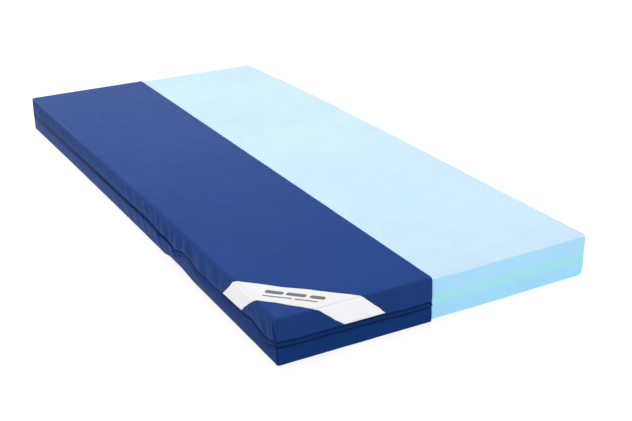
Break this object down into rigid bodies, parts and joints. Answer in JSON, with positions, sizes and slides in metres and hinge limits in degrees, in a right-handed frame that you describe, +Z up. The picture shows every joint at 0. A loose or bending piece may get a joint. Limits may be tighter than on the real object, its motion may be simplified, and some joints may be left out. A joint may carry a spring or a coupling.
{
  "type": "pressure relief mattress",
  "caption": "Layered foam mattress core lying in a coated fabric cover cut away along its length, with a zip under a flap round the edge and a pale band sewn across one corner.",
  "frame": {"origin": "centre of the foam core's footprint, on the surface the mattress rests on", "axes": "+Z up; +Y along the mattress, away from the end with the corner band; the covered half is on -X and the bare half on +X"},
  "size_m": [0.9062, 2.0187, 0.1221],
  "materials": {
    "blue_foam": "open-cell foam, fine pores, matte",
    "aqua_foam": "open-cell foam, fine pores, matte",
    "base_foam": "open-cell foam, slightly coarser pores, matte",
    "cover_fabric": "knitted fabric with a soft coated face, low sheen",
    "zip_tape": "herringbone woven tape",
    "zip_coil": "satin nylon filament",
    "band_fabric": "woven satin ribbon",
    "blue_thread": "twisted polyester thread",
    "white_thread": "twisted polyester thread",
    "slider_metal": "satin enamel on die-cast metal"
  },
  "bodies": {
    "core": {"foam_bottom_layer": "base_foam", "foam_middle_layer": "aqua_foam", "foam_top_layer": "blue_foam"},
    "cover": {"cover_top": "cover_fabric", "cover_bottom": "cover_fabric", "corner_seam_top_near": "cover_fabric", "corner_seam_top_far": "cover_fabric", "corner_seam_bottom_near": "cover_fabric", "corner_seam_bottom_far": "cover_fabric", "zip_tape_upper": "zip_tape", "zip_tape_lower": "zip_tape", "zip_coil_upper": "zip_coil", "zip_coil_lower": "zip_coil", "zip_flap": "cover_fabric", "corner_band": "band_fabric", "flap_stitching": "blue_thread", "band_stitching": "white_thread", "tape_stitching": "blue_thread"},
    "slider": {"zip_slider": "slider_metal"},
    "tab": {"pull_tab": "slider_metal"},
    "flap": {"zip_flap_far": "cover_fabric"}
  },
  "joints": [
    {"name": "cover_pull_off", "type": "slide", "parent": "core", "child": "cover", "axis": [-1, 0, 0], "range_m": [0, 0.48]},
    {"name": "slider_travel", "type": "slide", "parent": "cover", "child": "slider", "axis": [-1, 0, 0], "range_m": [0, 0.335]},
    {"name": "tab_lift", "type": "hinge", "parent": "slider", "child": "tab", "pos_m": [-0.042, 1.0083, 0.05], "axis": [1, 0, 0], "range_deg": [0, 100]},
    {"name": "flap_lift", "type": "hinge", "parent": "cover", "child": "flap", "pos_m": [0, 1.0044, 0.05815], "axis": [1, 0, 0], "range_deg": [0, 65]}
  ],
  "couplings": [
    {"joint": "flap_lift", "follows": "tab_lift", "ratio": 0.65}
  ]
}
